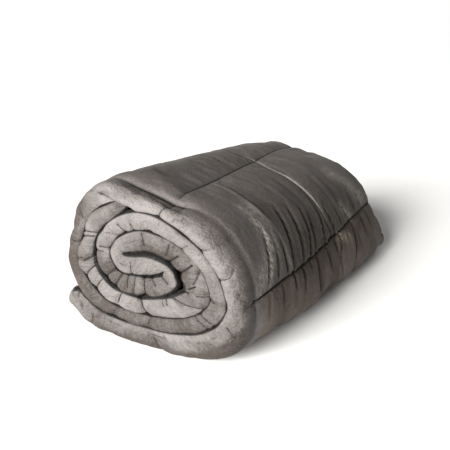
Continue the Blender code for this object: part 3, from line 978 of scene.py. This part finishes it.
def velvet_material(look):
    """Short-pile polyester velvet, brushed: matt and dark, lighter where the pile leans, with
    light, shade, glints and a seam highlight painted in.
    """
    material = bpy.data.materials.new("velvet, brushed polyester pile")
    material.use_nodes = True
    tree = material.node_tree
    tree.nodes.clear()
    out = add_node(tree, "OutputMaterial")

    def joined(operation, *values):
        """All the values joined by one operation, from the first to the last."""
        result = values[0]
        for value in values[1:]:
            node = add_node(tree, "Math", {0: result, 1: value}, operation=operation)
            result = node.outputs[0]
        return result

    def line(value, target, width, strength, solid=0.3):
        """The strength on a line where the value is the target, 0 beyond its half width."""
        away = joined("SUBTRACT", value, target)
        away = add_node(tree, "Math", {0: away}, operation="ABSOLUTE").outputs[0]
        sockets = dict(zip(RANGE, (away, solid * width, width, strength, 0.0)))
        node = add_node(tree, "MapRange", sockets, interpolation_type="SMOOTHSTEP")
        return node.outputs["Result"]

    def within(value, low, high, fade):
        """1 where the value lies between low and high, fading out beyond them."""
        ends = [add_node(tree, "MapRange", dict(zip(RANGE, (value, *row))))
                for row in ((low - fade, low, 0.0, 1.0), (high, high + fade, 1.0, 0.0))]
        return joined("MULTIPLY", *[end.outputs["Result"] for end in ends])

    place = add_node(tree, "TexCoord").outputs
    point = {name: add_node(tree, "Attribute", attribute_name=name).outputs
             for name in ("pile_and_painted_light", "crushed_glint", "fold", "rim", "rim_place")}
    laid_on = {
        "object": place["Object"], "band": place["UV"], "rim": point["rim_place"]["Vector"]}
    noise = {}
    for p in PATTERNS:
        scale = [1 / (size * MM) if size else 0 for size in (p.x, p.y, p.z)]
        scaled = add_node(tree, "VectorMath", {0: laid_on[p.on], 1: scale},
                          operation="MULTIPLY")
        noise[p.name] = add_node(tree, "TexNoise", {
            "Vector": scaled.outputs["Vector"], "Scale": 1.0, "Detail": p.detail,
            "Roughness": p.roughness, "Distortion": p.distortion}).outputs["Fac"]

    # puckers on the rims, with the crumples cut into them
    crumples = line(noise["crumples"], 0.5, width=0.08, strength=-1.0, solid=0)
    puckered = add_node(tree, "Math", {0: crumples, 1: 0.16, 2: noise["puckers"]},
                        operation="MULTIPLY_ADD").outputs[0]
    puckered = joined("MULTIPLY", puckered, point["rim"]["Fac"])
    # the lie of the pile with its painted light and shade, from 0 (dark) to 1 (light), with the
    # share of each pattern
    lie = -0.315  # puts pile that stands up a third of the way between the two colours
    for value, share in ((point["pile_and_painted_light"]["Fac"], 0.5), (noise["patches"], 0.4),
                         (noise["creases"], 0.25), (noise["tufts"], 0.68), (puckered, 0.5)):
        lie = add_node(tree, "Math", {0: value, 1: share, 2: lie},
                       operation="MULTIPLY_ADD").outputs[0]
    # the two colours span the velvet's own tone and the painted light and shade
    ramp_node = add_node(tree, "ValToRGB", {"Fac": lie})
    for end, code in zip(ramp_node.color_ramp.elements,
                         (look.deep_colour_hex, look.light_colour_hex)):
        end.color = srgb(code)
    # painted glints: pale specks where the pile is crushed
    glint = add_node(tree, "MapRange",
                     dict(zip(RANGE, (noise["specks"], 0.42, 0.66, 0.03, 0.62))))
    glints = joined("MULTIPLY", glint.outputs["Result"], point["crushed_glint"]["Fac"])
    # painted shade: the pile darkens where the surface is hollow, in folds and in the gaps
    # between the turns
    fold_shade = add_node(tree, "MapRange",
                      dict(zip(RANGE, (point["fold"]["Fac"], 0.02, 0.15, 0.0, 0.97))))

    # stitched lines, drawn 2 mm wide, wider than real so that they show
    band = add_node(tree, "SeparateXYZ", {"Vector": place["UV"]})
    along, depth = band.outputs["X"], band.outputs["Y"]
    first, strong, top = (FIRST_SEAM + SEAM_PITCH * k for k in range(3))
    outer = within(depth, FACE_OFFSET + BORDER_SEAM, ROLL_LENGTH, fade=8 * MM)
    back = within(depth, FACE_OFFSET + 90 * MM, 2 * ROLL_LENGTH, fade=90 * MM)
    dark = joined(
        "MAXIMUM",
        line(along, strong, width=1.9 * MM, strength=0.95),
        line(along, first, width=1.6 * MM, strength=0.7),
        joined("MULTIPLY", line(along, top, width=1.5 * MM, strength=0.75), back))
    dark = joined("MULTIPLY", dark, outer)
    # painted highlight: a pale line along the wall just beyond the seam round the roll
    pale = joined(
        "MULTIPLY",
        line(depth, FACE_OFFSET + MIDDLE_SEAM + 1.5 * MM, width=2 * MM, strength=0.5),
        within(along, 335 * MM, top - 12 * MM, fade=35 * MM))
    # below the strong seam, where the floor sends light back
    warm = joined("MULTIPLY", within(along, 150 * MM, strong - 8 * MM, fade=12 * MM), outer)
    pleats = joined(
        "MULTIPLY", noise["pleats"],
        within(along, strong - 22 * MM, strong + 30 * MM, fade=32 * MM),
        within(depth, FACE_OFFSET + 75 * MM, FACE_OFFSET + 330 * MM, fade=60 * MM))

    colour = ramp_node.outputs["Color"]
    for factor, code, blend in (
        # painted glints
        (glints, "#aaa39b", "MIX"),
        (fold_shade.outputs["Result"], "#0e0d0c", "MIX"),  # painted shade in folds and in the gaps between the turns
        (dark, "#171513", "MIX"),
        # painted highlight along the seam round the roll
        (pale, "#88837e", "MIX"),
        (warm, "#fff0e2", "MULTIPLY"),
    ):
        mix = add_node(tree, "Mix", {"Factor": factor, "A": colour, "B": srgb(code)},
                       data_type="RGBA", blend_type=blend)
        colour = mix.outputs["Result"]
    normal = {}
    for height, strength, distance in (
        (noise["tufts"], 0.5, 0.6 * MM),
        (noise["creases"], 0.4, 1.6 * MM),
        (puckered, 0.9, 2.2 * MM),
        (pleats, 0.8, 3.5 * MM),
        (dark, 1.0, 1.2 * MM),  # drawn in, where the others rise
    ):
        sockets = {"Height": height, "Strength": strength, "Distance": distance, **normal}
        node = add_node(tree, "Bump", sockets, invert=height is dark)
        normal = {"Normal": node.outputs["Normal"]}
    shader = add_node(tree, "BsdfPrincipled", {
        "Base Color": colour, "Roughness": 0.62, "Specular IOR Level": 0.15,
        "Sheen Weight": 0.04, "Sheen Roughness": 0.35, "Sheen Tint": srgb("#d9d2ca"), **normal})
    tree.links.new(shader.outputs["BSDF"], out.inputs["Surface"])
    return material


class BlanketLook(bpy.types.PropertyGroup):
    """Sizes and colours of the blanket."""

    puff_height: FloatProperty(
        name="Puff height", description="Rise of the quilted squares between their seams",
        default=2.4 * MM, min=0, max=0.01, subtype="DISTANCE", unit="LENGTH")
    seam_depth: FloatProperty(
        name="Seam depth", description="How far the stitching draws the velvet in",
        default=1.8 * MM, min=0, max=0.01, subtype="DISTANCE", unit="LENGTH")
    wrinkle_strength: FloatProperty(
        name="Wrinkle strength",
        description="Multiplies the depth of the gathers at the strong seam",
        default=1.0, min=0, max=2, subtype="FACTOR")
    crease_strength: FloatProperty(
        name="Crease strength",
        description="Multiplies the depth of the creases at the open end",
        default=1.1, min=0, max=2, subtype="FACTOR")
    pressure: FloatProperty(
        name="Pressure", description="Pressure of the filling on the velvet",
        default=2.0, min=0, max=50)
    ease: FloatProperty(
        name="Ease", description="Spare velvet where it is gathered, as a share of its length",
        default=0.045, min=0, max=0.2, subtype="FACTOR")
    least_ease: FloatProperty(
        name="Least ease", description="Spare velvet elsewhere, as a share of its length",
        default=0.008, min=0, max=0.2, subtype="FACTOR")
    deep_colour_hex: StringProperty(
        name="Deep colour", description="sRGB colour of the pile seen end on",
        default="#322d29")
    light_colour_hex: StringProperty(
        name="Light colour", description="sRGB colour of the pile lying over",
        default="#635f5d")


class StageLook(bpy.types.PropertyGroup):
    """Light and floor of the stage."""

    key_strength: FloatProperty(
        name="Key light", description="Strength of the soft light before the open end",
        default=14.5, min=0, max=50)
    key_height: FloatProperty(
        name="Key height", description="Height of the key light above the horizon",
        default=radians(17), min=0, max=pi / 2, subtype="ANGLE", unit="ROTATION")
    key_turn: FloatProperty(
        name="Key turn", description="How far the key light stands to the left of the open end",
        default=radians(8), min=-pi, max=pi, subtype="ANGLE", unit="ROTATION")
    key_softness: FloatProperty(
        name="Key softness", description="Width of the key light as seen from the blanket",
        default=radians(32), min=0, max=pi, subtype="ANGLE", unit="ROTATION")
    sky_strength: FloatProperty(
        name="Sky", description="Strength of the soft light overhead",
        default=0.28, min=0, max=5)
    floor_colour_hex: StringProperty(
        name="Floor colour", description="sRGB colour of the floor", default="#dddcda")


class BLANKET_OT_roll(bpy.types.Operator):
    """Build the rolled blanket in the place of its CAD solid"""

    bl_idname = "blanket.roll"
    bl_label = "Rolled blanket"
    bl_options = {"REGISTER", "UNDO"}

    def execute(self, context):
        bpy.ops.object.select_all(action="DESELECT")
        look = context.scene.blanket_look
        grid, along, side, depth, lie, unrolled = blanket_grid(look)
        inset = end_inset(depth)
        held, loose = cloth_weights(grid, along, side, depth)
        mesh = grid_mesh("rolled_blanket", grid, along, side, depth)
        # painted shade: the gaps between the turns, beyond the rims, are darkened as a fold is
        gap = (side < 0) | (along > VISIBLE_LENGTH)
        points = {
            "held": held,
            "loose": loose,
            # painted light and shade, with the lie of the pile
            "pile_and_painted_light": lie,
            "crushed_glint": crushed_pile(along, side, depth),
            "gap_shade": 0.3 * gap * ramp(inset, 1.5 * MM, 1.8 * MM),
            "rim": ramp(inset, 20 * MM, -15 * MM),
        }
        for name, values in points.items():
            layer = mesh.attributes.new(name, "FLOAT", "POINT")
            layer.data.foreach_set("value", values.astype(float).ravel())
        layer = mesh.attributes.new("rim_place", "FLOAT_VECTOR", "POINT")
        place = np.stack(np.broadcast_arrays(along, unrolled, 0.0), axis=-1)
        layer.data.foreach_set("vector", place.ravel())
        # the grid's open ends are drawn to a line, which the weld closes
        shape = bmesh.new()
        shape.from_mesh(mesh)
        spare = [v for v in shape.verts if not v.link_faces]
        bmesh.ops.delete(shape, geom=spare, context="VERTS")
        bmesh.ops.remove_doubles(shape, verts=shape.verts, dist=WELD)
        bmesh.ops.recalc_face_normals(shape, faces=shape.faces)
        shape.to_mesh(mesh)
        shape.free()
        mesh.shade_smooth()
        mesh.materials.append(velvet_material(look))
        blanket = bpy.data.objects.new("rolled_blanket", mesh)
        context.collection.objects.link(blanket)
        for name in ("held", "loose", "gap_shade"):
            points[name] = np.empty(len(mesh.vertices))
            mesh.attributes[name].data.foreach_get("value", points[name])
            mesh.attributes.remove(mesh.attributes[name])
        swell(blanket, points["held"], points["loose"], look)
        # painted shade: the shader darkens the pile by this, in hollows and in the gaps
        fold = mesh.attributes.new("fold", "FLOAT", "POINT")
        fold.data.foreach_set("value", np.maximum(fold_depth(mesh), points["gap_shade"]))
        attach(blanket, "root")
        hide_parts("blanket")
        return {"FINISHED"}


def studio_world(top, horizon):
    """Soft light from all round, paler at the horizon as in a studio cove."""
    world = bpy.data.worlds.new("studio")
    world.use_nodes = True
    tree = world.node_tree
    place = add_node(tree, "TexCoord")
    split = add_node(tree, "SeparateXYZ", {"Vector": place.outputs["Generated"]})
    level = add_node(tree, "MapRange",
                     dict(zip(RANGE, (split.outputs["Z"], 0.05, 0.16, horizon, top))),
                     interpolation_type="SMOOTHSTEP")
    background = tree.nodes["Background"]
    background.inputs["Color"].default_value = (1, 1, 1, 1)
    tree.links.new(level.outputs["Result"], background.inputs["Strength"])
    return world


class BLANKET_OT_stage(bpy.types.Operator):
    """Lay the pale floor and set the soft lights and the camera"""

    bl_idname = "blanket.stage"
    bl_label = "Stage"
    bl_options = {"REGISTER", "UNDO"}

    def execute(self, context):
        bpy.ops.object.select_all(action="DESELECT")
        look = context.scene.stage_look
        bpy.ops.mesh.primitive_plane_add(size=12, location=(0, 0, 0))
        floor = context.object
        floor.name = "floor"
        material = bpy.data.materials.new("paper, matt white")
        material.use_nodes = True
        shader = material.node_tree.nodes["Principled BSDF"]
        shader.inputs["Base Color"].default_value = srgb(look.floor_colour_hex)
        shader.inputs["Roughness"].default_value = 0.9
        floor.data.materials.append(material)

        sun = bpy.data.lights.new("key", "SUN")
        sun.energy, sun.angle = look.key_strength, look.key_softness
        sun.color = (1, 0.995, 0.985)
        key = bpy.data.objects.new("key", sun)
        key.rotation_euler = (pi / 2 - look.key_height, 0, -look.key_turn)
        context.collection.objects.link(key)
        context.scene.world = studio_world(look.sky_strength, 1.0)
        context.scene.view_settings.view_transform = "Standard"

        data = bpy.data.cameras.new("camera")
        data.lens = CAMERA_LENS
        camera = bpy.data.objects.new("camera", data)
        camera.location = CAMERA_PLACE
        camera.rotation_euler = (radians(90 - CAMERA_PITCH), 0, radians(CAMERA_TURN))
        context.collection.objects.link(camera)
        context.scene.camera = camera
        return {"FINISHED"}


class BLANKET_PT_panel(bpy.types.Panel):
    """Lists the blanket's settings and the operators that build it"""

    bl_idname = "BLANKET_PT_panel"
    bl_label = "Rolled blanket"
    bl_space_type = "VIEW_3D"
    bl_region_type = "UI"
    bl_category = "Blanket"

    def draw(self, context):
        for look, group, operator in (
            (context.scene.blanket_look, BlanketLook, BLANKET_OT_roll),
            (context.scene.stage_look, StageLook, BLANKET_OT_stage),
        ):
            box = self.layout.box()
            for name in group.__annotations__:
                box.prop(look, name)
            box.operator(operator.bl_idname)


CLASSES = (BlanketLook, StageLook, BLANKET_OT_roll, BLANKET_OT_stage, BLANKET_PT_panel)


def register():
    for item in CLASSES:
        bpy.utils.register_class(item)
    bpy.types.Scene.blanket_look = PointerProperty(type=BlanketLook)
    bpy.types.Scene.stage_look = PointerProperty(type=StageLook)


def unregister():
    del bpy.types.Scene.stage_look
    del bpy.types.Scene.blanket_look
    for item in reversed(CLASSES):
        bpy.utils.unregister_class(item)


def main():
    register()
    bpy.ops.blanket.roll()
    bpy.ops.blanket.stage()


if __name__ == "__main__":
    main()
